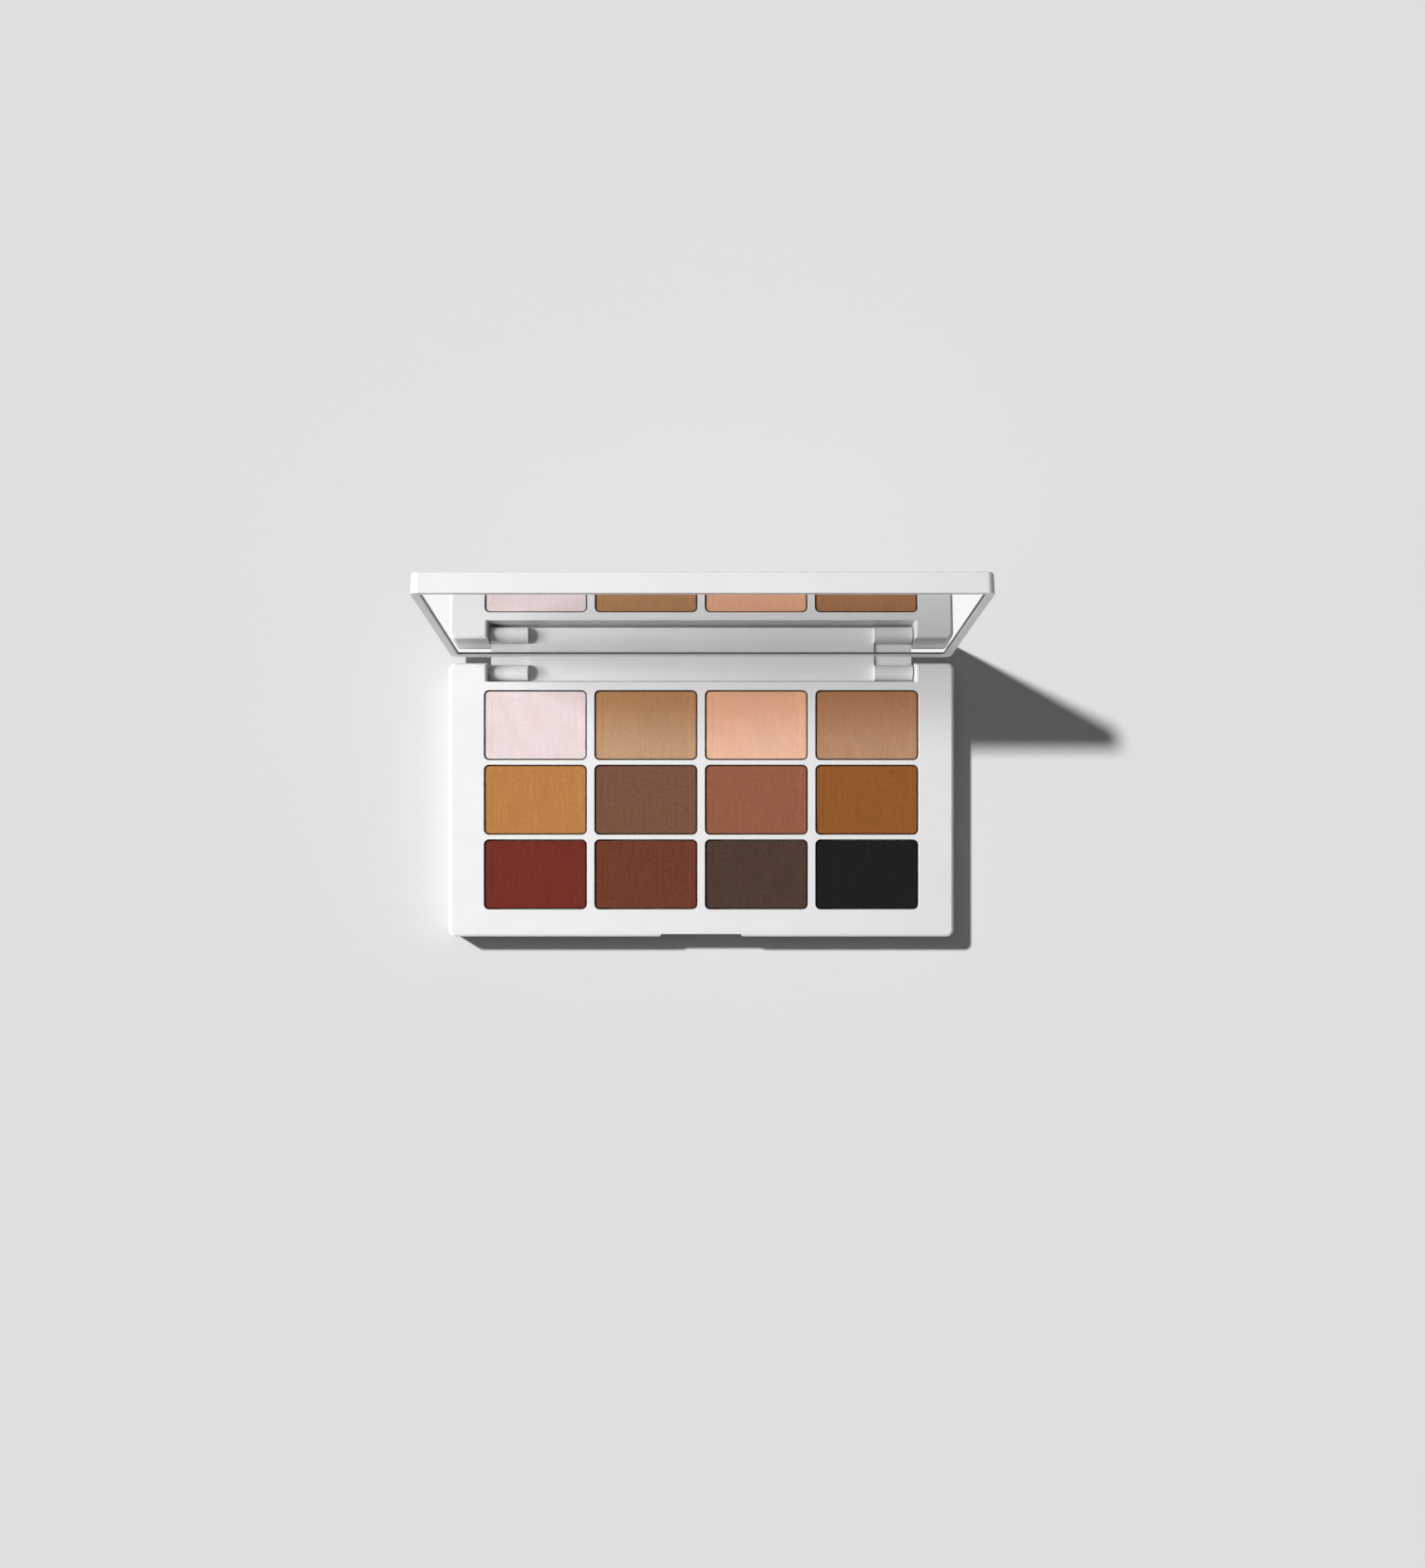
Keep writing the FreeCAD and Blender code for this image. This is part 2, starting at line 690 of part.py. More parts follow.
def make_lid_hinge(body):
    """Rear skirt with its rounded foot, and a barrel near each end of it."""
    into_lid = rim_plane + OVERCUT
    flange = new_sketch(body, "flange", "YZ_Plane")
    skirt_section(flange, lid_rear - size("flange_thick"), into_lid)
    pad(body, flange, size("barrel_outer") * 2, symmetric=True)
    rib = new_sketch(body, "rib", "YZ_Plane")
    skirt_section(rib, lid_rear - size("rib_thick"), into_lid)
    pad(body, rib, size("barrel_inner") * 2, symmetric=True)

    barrel_length = size("barrel_outer") - size("barrel_inner")
    barrel = new_sketch(body, "barrel", "YZ_Plane", out=size("barrel_inner"))
    circle(barrel, size("barrel_radius"))
    mirror_feature(body, pad(body, barrel, barrel_length))

    def inner_corner(edge):
        box = edge.BoundBox
        level = at_height(rim_plane.number)(edge)
        along = box.XLength > box.YLength
        return level and along and 0 < box.YMin and box.YMax < lid_rear.number - TOLERANCE

    round_edges(body, "skirt_round", "Fillet", size("skirt_round"), inner_corner)

    bore = new_sketch(body, "bore", "YZ_Plane", out=size("barrel_outer"))
    circle(bore, size("pin_radius") + size("pin_running_gap"))
    depth = size("barrel_outer") - size("pin_inner") + size("bore_end_gap")
    mirror_feature(body, pocket(body, bore, depth))


def make_mirror():
    body = new_body("mirror_glass")
    gap = size("mirror_gap") * 2
    outline = new_sketch(body, "outline", up=mirror_middle, out=mirror_face)
    rounded_rectangle(outline, mirror_hole_width - gap, mirror_hole_length - gap,
                      size("mirror_corner") - size("mirror_gap"))
    pad(body, outline, size("mirror_thick"))
    round_edges(body, "bevel", "Chamfer", size("mirror_bevel"), at_height(mirror_face.number))
    return body


def make_mirror_tape():
    body = new_body("mirror_tape")
    inset = size("tape_inset") * 2
    outline = new_sketch(body, "outline", up=mirror_middle, out=mirror_back)
    rounded_rectangle(outline, mirror_hole_width - inset, mirror_hole_length - inset,
                      size("mirror_corner"))
    pad(body, outline, size("tape_thick"))
    return body


# ---------------------------------------------------------------- assembly and export

parts = [make_base_deck(), make_bottom_plate(), make_bottom_label()]
for row, row_name in enumerate(ROW_NAMES):
    for column, powder_name in enumerate(POWDER_NAMES[row]):
        place = well_place(column, row)
        parts.append(make_pan(f"pan_{row_name}_{column + 1}", *place))
        parts.append(make_powder(f"powder_{powder_name}", *place))
parts.append(make_glue())
for side, side_name in ((-1, "left"), (1, "right")):
    parts.append(make_hinge_pin(f"hinge_pin_{side_name}", side))
    parts.append(make_base_magnet(f"base_magnet_{side_name}", side))

lid_parts = [make_lid_shell(), make_mirror(), make_mirror_tape()]
for lid_part in lid_parts:
    turn_with_lid(lid_part)
for side, side_name in ((-1, "left"), (1, "right")):
    lid_magnet = make_magnet(f"lid_magnet_{side_name}")
    turn_with_lid(lid_magnet, size("magnet_offset") * side - size("magnet_width") / 2,
                  lid_magnet_y - size("magnet_length") / 2, tape_back)
    lid_parts.append(lid_magnet)
parts.extend(lid_parts)

doc.recompute()
for thing in doc.Objects:
    failed = [state for state in thing.State if state in ("Invalid", "Error")]
    require(not failed, f"{thing.Label} is in state {failed}")
for part in parts:
    require(not part.Shape.isNull() and part.Shape.isValid(), f"{part.Label} has no valid shape")

os.makedirs("parts", exist_ok=True)
for part in parts:
    part.Shape.exportStep(f"parts/{part.Label}.step")
    box = part.Shape.BoundBox
    print(f"{part.Label}: {len(part.Shape.Solids)} solids, {part.Shape.Volume:.1f} mm3, "
          f"x {box.XMin:.2f} to {box.XMax:.2f}, y {box.YMin:.2f} to {box.YMax:.2f}, "
          f"z {box.ZMin:.2f} to {box.ZMax:.2f}")
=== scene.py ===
"""The looks of an open twelve-shade eyeshadow palette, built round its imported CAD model.

Everything is in metres, in the CAD model's frame: X to the right, Y to the rear, Z up, with the base
lying on the floor at Z = 0 and the lid open at its rest angle. The CAD parts keep their shapes and get
procedural materials. The twelve powder cakes and the mirror are modelled here in fine detail.
"""
import json
import math

import bmesh
import bpy
from mathutils import Matrix, Vector, noise

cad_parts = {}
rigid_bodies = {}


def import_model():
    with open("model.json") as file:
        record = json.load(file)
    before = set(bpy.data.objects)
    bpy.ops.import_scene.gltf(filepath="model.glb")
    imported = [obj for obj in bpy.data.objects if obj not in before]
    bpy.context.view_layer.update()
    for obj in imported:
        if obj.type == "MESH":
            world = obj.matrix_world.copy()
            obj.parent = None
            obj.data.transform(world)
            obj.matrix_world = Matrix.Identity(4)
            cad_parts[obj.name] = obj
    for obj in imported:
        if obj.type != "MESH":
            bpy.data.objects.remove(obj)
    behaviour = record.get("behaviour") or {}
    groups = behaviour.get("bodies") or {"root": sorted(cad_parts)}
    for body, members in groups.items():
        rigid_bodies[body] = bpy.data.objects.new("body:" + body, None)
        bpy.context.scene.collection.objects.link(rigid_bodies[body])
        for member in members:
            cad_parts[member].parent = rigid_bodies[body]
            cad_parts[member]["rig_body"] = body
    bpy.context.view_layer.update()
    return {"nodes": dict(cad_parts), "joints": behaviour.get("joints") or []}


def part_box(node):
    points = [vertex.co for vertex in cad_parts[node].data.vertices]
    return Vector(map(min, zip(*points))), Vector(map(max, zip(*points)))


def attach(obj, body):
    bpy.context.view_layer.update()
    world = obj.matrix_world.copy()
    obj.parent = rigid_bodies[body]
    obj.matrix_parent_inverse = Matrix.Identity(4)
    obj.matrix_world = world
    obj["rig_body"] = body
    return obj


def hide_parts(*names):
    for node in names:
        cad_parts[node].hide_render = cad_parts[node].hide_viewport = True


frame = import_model()

MM = 0.001
QUARTER_TURN = math.radians(90)


# ---------------------------------------------------------------- objects and node graphs

def scene_object(name, data):
    """A new object that holds data, in the scene."""
    item = bpy.data.objects.new(name, data)
    bpy.context.scene.collection.objects.link(item)
    return item


def mesh_object(name, bm, *materials):
    """Turns a finished bmesh into an object. Its faces' material indexes count these materials."""
    mesh = bpy.data.meshes.new(name)
    bm.to_mesh(mesh)
    bm.free()
    for material in materials:
        mesh.materials.append(material)
    return scene_object(name, mesh)


class Graph:
    """A material's node graph, written as calls. A value is a number, a colour or another node's output."""

    def __init__(self, name):
        self.material = bpy.data.materials.new(name)
        self.material.use_nodes = True
        self.tree = self.material.node_tree
        self.tree.nodes.clear()
        self.place = self.add("ShaderNodeTexCoord").outputs["Object"]

    def add(self, kind, inputs=None, **settings):
        node = self.tree.nodes.new(kind)
        for name, value in settings.items():
            setattr(node, name, value)
        for name, value in (inputs or {}).items():
            self.put(node.inputs[name], value)
        return node

    def put(self, socket, value):
        if isinstance(value, bpy.types.NodeSocket):
            self.tree.links.new(value, socket)
        elif isinstance(value, tuple) and socket.type == "RGBA" and len(value) == 3:
            socket.default_value = (*value, 1.0)
        else:
            socket.default_value = value

    def math(self, operation, a, b=0.0, c=0.0):
        return self.add("ShaderNodeMath", {0: a, 1: b, 2: c}, operation=operation).outputs[0]

    def scaled(self, x, y, z):
        """The place in the frame, stretched along each axis."""
        return self.add("ShaderNodeVectorMath", {0: self.place, 1: (x, y, z)},
                        operation="MULTIPLY").outputs[0]

    def axes(self):
        parts = self.add("ShaderNodeSeparateXYZ", {0: self.place})
        return parts.outputs[0], parts.outputs[1], parts.outputs[2]

    def noise(self, grain, detail=2.0, roughness=0.5, place=None):
        """Noise about 0.5, with features about grain metres wide."""
        return self.add("ShaderNodeTexNoise", {
            "Vector": place or self.place, "Scale": 1.0 / grain,
            "Detail": detail, "Roughness": roughness}).outputs["Fac"]

    def fade(self, value, start, end, low=0.0, high=1.0):
        """Goes smoothly from low at start to high at end."""
        return self.add("ShaderNodeMapRange", {
            "Value": value, "From Min": start, "From Max": end, "To Min": low, "To Max": high},
            interpolation_type="SMOOTHSTEP").outputs["Result"]

    def mix(self, factor, a, b, blend="MIX"):
        node = self.add("ShaderNodeMix", {0: factor, 6: a, 7: b}, data_type="RGBA", blend_type=blend)
        return node.outputs[2]

    def tinted(self, colour, tint):
        return self.mix(1.0, colour, tint, blend="MULTIPLY")

    def bump(self, height, distance, strength=1.0, below=None):
        node = self.add("ShaderNodeBump", {
            "Height": height, "Distance": distance, "Strength": strength})
        if below is not None:
            self.put(node.inputs["Normal"], below)
        return node.outputs["Normal"]

    def output(self, shader):
        """Gives the material this shader node as its surface."""
        surface = self.add("ShaderNodeOutputMaterial").inputs["Surface"]
        self.tree.links.new(shader.outputs[0], surface)
        return self.material

    def finish(self, **inputs):
        """The surface shader. Words stand for its sockets, with _ for a space."""
        named = {name.replace("_", " "): value for name, value in inputs.items()}
        return self.output(self.add("ShaderNodeBsdfPrincipled", named))


def linear(red, green, blue):
    """A colour given in 0-255 display values, as linear light: the standard sRGB curve."""
    def one(value):
        value /= 255
        return value / 12.92 if value <= 0.04045 else ((value + 0.055) / 1.055) ** 2.4
    return one(red), one(green), one(blue)


def shaded(colour, share):
    """A share of the colour: darker under 1, lighter above it."""
    return tuple(min(1.0, channel * share) for channel in colour)


def paled(colour, share):
    """A 0-255 display colour, moved a share of the way to white."""
    return tuple(channel + (255 - channel) * share for channel in colour)


# ---------------------------------------------------------------- materials of the CAD parts

CASE_WHITE = (0.82, 0.82, 0.822)


def moulded_plastic(name):
    """White injection-moulded case: a satin skin with a very fine spark-eroded grain."""
    least_roughness, fine_swing, cloud_swing = 0.31, 0.10, 0.08
    g = Graph(name)
    cloud = g.noise(14 * MM, detail=3.0)
    fine = g.noise(0.22 * MM, detail=3.0, roughness=0.6)
    tone = g.mix(g.fade(cloud, 0.35, 0.65), CASE_WHITE, shaded(CASE_WHITE, 0.975))
    dusty = g.mix(g.fade(fine, 0.62, 0.78, high=0.35), tone, shaded(CASE_WHITE, 0.93))
    gloss = g.math("MULTIPLY_ADD", fine, fine_swing, least_roughness)
    gloss = g.math("MULTIPLY_ADD", cloud, cloud_swing, gloss)
    sink = g.bump(cloud, 0.05 * MM, strength=0.5)
    skin = g.bump(fine, 0.004 * MM, strength=0.8, below=sink)
    return g.finish(Base_Color=dusty, Roughness=gloss, Normal=skin, IOR=1.5, Specular_IOR_Level=0.5)


def drawn_aluminium(name):
    """Pressed tin of a pan: grey aluminium with faint drawing lines up its wall."""
    dull, bright = (0.42, 0.42, 0.43), (0.55, 0.55, 0.56)
    least_roughness, swing = 0.28, 0.25
    g = Graph(name)
    lines = g.noise(0.12 * MM, roughness=0.6, place=g.scaled(1.0, 1.0, 0.05))
    haze = g.noise(3 * MM, detail=3.0)
    gloss = g.math("MULTIPLY_ADD", lines, swing, least_roughness)
    skin = g.bump(lines, 0.006 * MM, strength=0.8)
    return g.finish(Base_Color=g.mix(haze, dull, bright), Metallic=1.0, Roughness=gloss, Normal=skin)


def ground_steel(name):
    """Centreless-ground hinge pin: rings round its length."""
    dull, bright = (0.48, 0.48, 0.50), (0.66, 0.66, 0.68)
    least_roughness, swing = 0.18, 0.2
    g = Graph(name)
    rings = g.noise(0.08 * MM, roughness=0.6, place=g.scaled(1.0, 0.04, 0.04))
    gloss = g.math("MULTIPLY_ADD", rings, swing, least_roughness)
    skin = g.bump(rings, 0.003 * MM, strength=0.8)
    return g.finish(Base_Color=g.mix(rings, dull, bright), Metallic=1.0, Roughness=gloss, Normal=skin)


def nickel_plate(name):
    """Plated magnet: bright, with a slight orange peel."""
    stained, bright = (0.55, 0.53, 0.50), (0.70, 0.68, 0.64)
    least_roughness, swing = 0.15, 0.25
    g = Graph(name)
    peel = g.noise(0.35 * MM)
    stain = g.noise(2.5 * MM, detail=4.0, roughness=0.6)
    gloss = g.math("MULTIPLY_ADD", stain, swing, least_roughness)
    skin = g.bump(peel, 0.004 * MM, strength=0.6)
    return g.finish(Base_Color=g.mix(stain, stained, bright), Metallic=1.0, Roughness=gloss, Normal=skin)


def foam_tape(name):
    """Double-sided tape: grey cell foam."""
    pore, wall = (0.16, 0.16, 0.165), (0.30, 0.30, 0.31)
    cell = 0.35 * MM
    g = Graph(name)
    cells = g.add("ShaderNodeTexVoronoi", {"Vector": g.place, "Scale": 1 / cell}).outputs["Distance"]
    colour = g.mix(g.fade(cells, 0.1, 0.7), pore, wall)
    return g.finish(Base_Color=colour, Roughness=0.85, Normal=g.bump(cells, 0.05 * MM, strength=0.7))


def set_glue(name):
    """A dab of glue, amber, uneven where it was squeezed flat."""
    thick, thin = (0.55, 0.47, 0.30), (0.75, 0.69, 0.52)
    g = Graph(name)
    flow = g.noise(1.6 * MM, detail=3.0)
    skin = g.bump(flow, 0.08 * MM, strength=0.6)
    return g.finish(Base_Color=g.mix(flow, thick, thin), Roughness=0.25, Normal=skin, IOR=1.47)


def printed_label(name, node):
    """White paper label under the base: a thin frame line, and plain grey bars and a square where print
    would be."""
    grey_paper, white_paper, ink = (0.74, 0.74, 0.73), (0.86, 0.86, 0.85), (0.16, 0.16, 0.17)
    ink_strength = 0.8
    margin, line = 1.6 * MM, 0.18 * MM
    row_widths, row_offset = (19, 23, 21, 14), 25  # in millimetres
    row_pitch, row_half_tall = 3.4 * MM, 0.42 * MM
    square_place, square_half = 24 * MM, 4.2 * MM

    g = Graph(name)
    low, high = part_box(node)
    centre, half = (low + high) / 2, (high - low) / 2
    x, y, _ = g.axes()
    across = g.math("SUBTRACT", x, centre.x)
    along = g.math("SUBTRACT", y, centre.y)

    def bar(middle_x, middle_y, half_wide, half_tall):
        """1 inside a printed bar, 0 outside."""
        inside_x = g.math("LESS_THAN", g.math("ABSOLUTE", g.math("SUBTRACT", across, middle_x)), half_wide)
        inside_y = g.math("LESS_THAN", g.math("ABSOLUTE", g.math("SUBTRACT", along, middle_y)), half_tall)
        return g.math("MULTIPLY", inside_x, inside_y)

    printed = g.math(
        "SUBTRACT",
        bar(0, 0, half.x - margin, half.y - margin),
        bar(0, 0, half.x - margin - line, half.y - margin - line))
    # The rows are ragged at both ends.
    for row, width in enumerate(row_widths):
        middle_y = ((len(row_widths) - 1) / 2 - row) * row_pitch
        strip = bar((width - row_offset) * MM, middle_y, width / 2 * MM, row_half_tall)
        printed = g.math("MAXIMUM", printed, strip)
    printed = g.math("MAXIMUM", printed, bar(square_place, 0, square_half, square_half))
    fibre = g.noise(0.25 * MM, detail=4.0, roughness=0.65)
    paper = g.mix(fibre, grey_paper, white_paper)
    colour = g.mix(g.math("MULTIPLY", printed, ink_strength), paper, ink)
    return g.finish(Base_Color=colour, Roughness=0.62, Normal=g.bump(fibre, 0.01 * MM, strength=0.7))


def dress_cad_parts():
    """Gives every CAD part that shows its material."""
    materials = {
        "case_plastic": moulded_plastic("case_plastic_skin"),
        "pan_aluminium": drawn_aluminium("pan_aluminium_drawn"),
        "pin_steel": ground_steel("pin_steel_ground"),
        "magnet_nickel": nickel_plate("magnet_nickel_plate"),
        "tape": foam_tape("tape_foam"),
        "glue": set_glue("glue_set"),
        "label": printed_label("label_paper", "bottom_label"),
    }
    for node in frame["nodes"].values():
        for slot in node.material_slots:
            if slot.material and slot.material.name in materials:
                slot.material = materials[slot.material.name]


# ---------------------------------------------------------------- powder cakes

# Each shade: its display colour, and how far it pales towards white at the front edge of the cake. That
# paling is a painted sheen.
SHADES = {
    "light_pink": ((240, 225, 225), 0.0),
    "tan": ((195, 145, 100), 0.22),
    "peach": ((240, 185, 150), 0.2),
    "sienna": ((190, 135, 95), 0.17),
    "caramel": ((200, 140, 80), 0.0),
    "taupe": ((135, 95, 75), 0.0),
    "rosewood": ((165, 105, 80), 0.0),
    "chestnut": ((160, 100, 50), 0.0),
    "oxblood": ((130, 55, 45), 0.0),
    "redwood": ((125, 70, 50), 0.0),
    "dark_brown": ((90, 70, 60), 0.0),
    "black": ((35, 35, 35), 0.0),
}

# What a powder's colour is multiplied by, in its marks.
LIGHTER = (1.05, 1.06, 1.07)
DARKER = (0.70, 0.69, 0.68)
WARMER = (1.0, 0.985, 0.95)
# The next factor darkens the film on the pan's rim: painted shade in the gap round the cake.
RIM_FILM_SHADE = (0.22, 0.20, 0.19)
GLINT = 1.35
# How much of each mark shows on a powder of contrast 1, and what the contrast is made of.
LINES_SHOW = 0.26
MOTTLE_SHOWS = 0.30
GRAINS_SHOW = 0.30
LEAST_CONTRAST = 0.3
DARK_CONTRAST = 2.2

OVER_RIM = 0.2 * MM        # how far the film of powder reaches out over the rim of its pan
FILM = 0.05 * MM           # thickness of that film
LEAST_RISE = 0.02 * MM     # the cake's top stays this far above the film
CORNER = 1.15 * MM         # outline corner of a cake's head
LIP = 0.2 * MM             # round of a cake's top edge
LIP_STEPS = 5
SHOULDER = 1.7 * MM        # where the press's flat face starts, in from the edge
SHOULDER_WIDE = 0.4 * MM
SHOULDER_STEP = 0.05 * MM
CROWN = 0.05 * MM          # a cake is a touch higher in its middle
CHIP = 1.3 * MM            # size of the chips in a cake's edge
FINE_CHIP = 0.45 * MM
CHIP_REACH = 0.5 * MM      # how far in from the edge they come
CHIP_DEPTH = 0.10 * MM
CHIP_START = 0.55          # noise at which the edge starts to chip
CHIP_RANGE = 0.35          # and how much more chips it all the way
RIPPLES = ((0.004 * MM, 0.9 * MM), (0.006 * MM, 4 * MM))  # height and width of a cake's unevenness
SEED_STEP = 0.1            # how far apart in the noise the cakes are, so that no two are alike
CLOSE_ROWS = 0.17 * MM     # spacing of the mesh over the shoulder
WIDE_ROWS = 0.42 * MM      # and in the middle


def powder(shade, rear, front):
    """Matte pressed powder, whose colour goes from rear to front over the cake; where the front is paler,
    that is a painted sheen. The press cloth has left fine lines in it from front to rear."""
    rim_shade_from, rim_shade_at = 0.15 * MM, 0.24 * MM  # below the cake's highest level
    g = Graph(f"pressed_{shade}")
    low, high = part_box(f"powder_{shade}")
    _, y, z = g.axes()
    # Paler towards the front on some shades: a painted sheen.
    colour = g.mix(g.fade(y, high.y, low.y), rear, front)
    clouds = g.noise(7 * MM, detail=3.0, roughness=0.55)
    drift = g.noise(11 * MM, detail=1.0, place=g.scaled(1.0, 0.8, 1.0))
    mottle = g.noise(0.9 * MM, detail=4.0, roughness=0.65)
    grains = g.noise(0.16 * MM, roughness=0.7)
    lines = g.noise(0.55 * MM, detail=3.0, roughness=0.6, place=g.scaled(1.0, 0.06, 1.0))
    threads = g.noise(0.5 * MM, place=g.scaled(0.08, 1.0, 1.0))
    # A dark cake shows its grain more than a pale one.
    contrast = LEAST_CONTRAST + DARK_CONTRAST * (1 - front[0])
    relief = min(1.0, contrast)

    darker = g.tinted(colour, DARKER)
    tone = g.mix(g.fade(clouds, 0.3, 0.7), colour, g.tinted(colour, LIGHTER))
    tone = g.mix(g.fade(drift, 0.38, 0.62), tone, g.tinted(tone, WARMER))
    tone = g.mix(g.fade(lines, 0.3, 0.7, high=LINES_SHOW * contrast), tone, darker)
    tone = g.mix(g.fade(mottle, 0.3, 0.7, high=MOTTLE_SHOWS * contrast), tone, darker)
    glints = g.fade(grains, 0.55, 0.75, high=GRAINS_SHOW * contrast)
    tone = g.mix(glints, tone, shaded(front, GLINT))
    # The film on the pan's rim is thin and darkened: painted shade in the narrow gap round the cake.
    tone = g.mix(g.fade(z, high.z - rim_shade_from, high.z - rim_shade_at), tone, g.tinted(tone, RIM_FILM_SHADE))

    cloth = g.bump(lines, 0.020 * MM * relief, strength=0.6)
    cloth = g.bump(threads, 0.010 * MM * relief, strength=0.6, below=cloth)
    cloth = g.bump(mottle, 0.018 * MM, strength=0.7, below=cloth)
    skin = g.bump(grains, 0.010 * MM, strength=0.8, below=cloth)
    dust = g.math("MULTIPLY_ADD", mottle, 0.12, 0.82)
    return g.finish(Base_Color=tone, Roughness=dust, Normal=skin, Diffuse_Roughness=0.6,
                    Specular_IOR_Level=0.07)


def ruler(half):
    """Places across a cake, from one edge to the other: close together over the edge's round and the
    shoulder, and wider apart in the middle."""
    inward = [LIP * (1 - math.cos(QUARTER_TURN * i / LIP_STEPS)) for i in range(LIP_STEPS + 1)]
    while inward[-1] < SHOULDER + SHOULDER_WIDE:
        inward.append(inward[-1] + CLOSE_ROWS)
    inner = half - inward[-1]
    count = max(2, round(2 * inner / WIDE_ROWS))
    middle = [-inner + 2 * inner * i / count for i in range(1, count)]
    left = [-half + step for step in inward]
    return left + middle + [-place for place in reversed(left)]


def smooth_step(value):
    """0 under 0, 1 above 1, and a smooth rise between them."""
    value = min(1.0, max(0.0, value))
    return value * value * (3 - 2 * value)


def past_corner(x, y, half):
    """How far out x, y is from the centre of the nearest corner's round, along each axis."""
    return abs(x) - (half.x - CORNER), abs(y) - (half.y - CORNER)


def cake_drop(x, y, half, seed):
    """How far the cake's top is below its highest level at x, y from the middle."""
    over_x, over_y = past_corner(x, y, half)
    if over_x > 0 and over_y > 0:
        inward = CORNER - math.hypot(over_x, over_y)
    else:
        inward = CORNER - max(over_x, over_y)
    inward = max(0.0, inward)
    spot = Vector((x + seed, y, 0.0))
    worn = noise.noise(spot / CHIP) + 0.5 * noise.noise(spot / FINE_CHIP)
    chipped = smooth_step((worn - CHIP_START) / CHIP_RANGE) * smooth_step(1 - inward / CHIP_REACH)
    drop = CHIP_DEPTH * chipped
    if inward < LIP:
        drop += LIP - math.sqrt(max(0.0, LIP * LIP - (LIP - inward) ** 2))
    drop += SHOULDER_STEP * smooth_step((inward - SHOULDER) / SHOULDER_WIDE)
    drop += CROWN * ((x / half.x) ** 2 + (y / half.y) ** 2) / 2
    for height, width in RIPPLES:
        drop += height * (1 + noise.noise(spot / width))
    return drop


def on_outline(x, y, half):
    """Draws the square corner of the grid in to the cake's round corner."""
    over_x, over_y = past_corner(x, y, half)
    if over_x <= 0 or over_y <= 0:
        return x, y
    a, b = over_x / CORNER, over_y / CORNER
    round_x, round_y = a * math.sqrt(1 - b * b / 2), b * math.sqrt(1 - a * a / 2)
    return (math.copysign(half.x - CORNER + CORNER * round_x, x),
            math.copysign(half.y - CORNER + CORNER * round_y, y))


def make_cake(shade, material, seed):
    """One pressed cake, as a closed solid: it fills the pan, stands above it and has left a thin film on
    its rim."""
    low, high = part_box(f"powder_{shade}")
    centre, half = (low + high) / 2, (high - low) / 2
    rim_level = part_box("pan_front_1")[1].z
    film_level = rim_level + FILM
    deepest = high.z - film_level - LEAST_RISE
    columns, rows = ruler(half.x), ruler(half.y)
    bm = bmesh.new()
    grid = []
    for grid_y in rows:
        line = []
        for grid_x in columns:
            x, y = on_outline(grid_x, grid_y, half)
            z = high.z - min(cake_drop(x, y, half, seed), deepest)
            line.append(bm.verts.new((centre.x + x, centre.y + y, z)))
        grid.append(line)
    for near, far in zip(grid, grid[1:]):
        for i in range(len(columns) - 1):
            top_face = bm.faces.new((near[i], near[i + 1], far[i + 1], far[i]))
            top_face.smooth = True
    edge = (grid[0] + [line[-1] for line in grid[1:]] + grid[-1][-2::-1]
            + [line[0] for line in grid[-2:0:-1]])
    rings = [edge]
    # From the edge of the top: down to the film, out over the rim, and back in and down to the floor of
    # the pan.
    for outward, z in ((0, film_level), (OVER_RIM, film_level), (OVER_RIM, rim_level), (0, rim_level),
                       (0, low.z)):
        grow_x, grow_y = 1 + outward / half.x, 1 + outward / half.y
        rings.append([bm.verts.new((centre.x + (v.co.x - centre.x) * grow_x,
                                    centre.y + (v.co.y - centre.y) * grow_y, z)) for v in edge])
    for level, (upper, lower) in enumerate(zip(rings, rings[1:])):
        for i in range(len(upper)):
            following = (i + 1) % len(upper)
            side = bm.faces.new((upper[i], lower[i], lower[following], upper[following]))
            side.smooth = level == 0
    bm.faces.new(rings[-1][::-1])
    bmesh.ops.recalc_face_normals(bm, faces=bm.faces)
    return mesh_object(f"cake_{shade}", bm, material)


def make_cakes():
    """The twelve cakes, in place of the plain CAD ones."""
    for number, (shade, (colour, front_sheen)) in enumerate(SHADES.items(), start=1):
        material = powder(shade, linear(*colour), linear(*paled(colour, front_sheen)))
        cake = make_cake(shade, material, seed=SEED_STEP * number)
        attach(cake, "base")
        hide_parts(f"powder_{shade}")


# ---------------------------------------------------------------- mirror

LID_HINGE = next(joint for joint in frame["joints"] if joint["name"] == "lid_hinge")
OPEN_ANGLE = math.radians(max(LID_HINGE["range_deg"]))
HINGE_PLACE = Vector(LID_HINGE["pos_m"])
CLOSED_TO_OPEN = (Matrix.Translation(HINGE_PLACE) @ Matrix.Rotation(-OPEN_ANGLE, 4, "X")
                  @ Matrix.Translation(-HINGE_PLACE))

MIRROR_CORNER = 0.85 * MM
MIRROR_CORNER_STEPS = 10
BEVEL = 0.1 * MM           # ground off the edges of the glass
LAND = 0.06 * MM           # flat glass between the bevel and the silver
SUNK = 0.26 * MM           # how deep the silver lies behind the glass
SILVER, EDGE, PAINT = range(3)


def closed_box(node):
    """Lowest and highest corner of a lid part with the lid closed."""
    to_closed = CLOSED_TO_OPEN.inverted()
    places = [to_closed @ v.co for v in frame["nodes"][node].data.vertices]
    return (Vector([min(p[i] for p in places) for i in range(3)]),
            Vector([max(p[i] for p in places) for i in range(3)]))


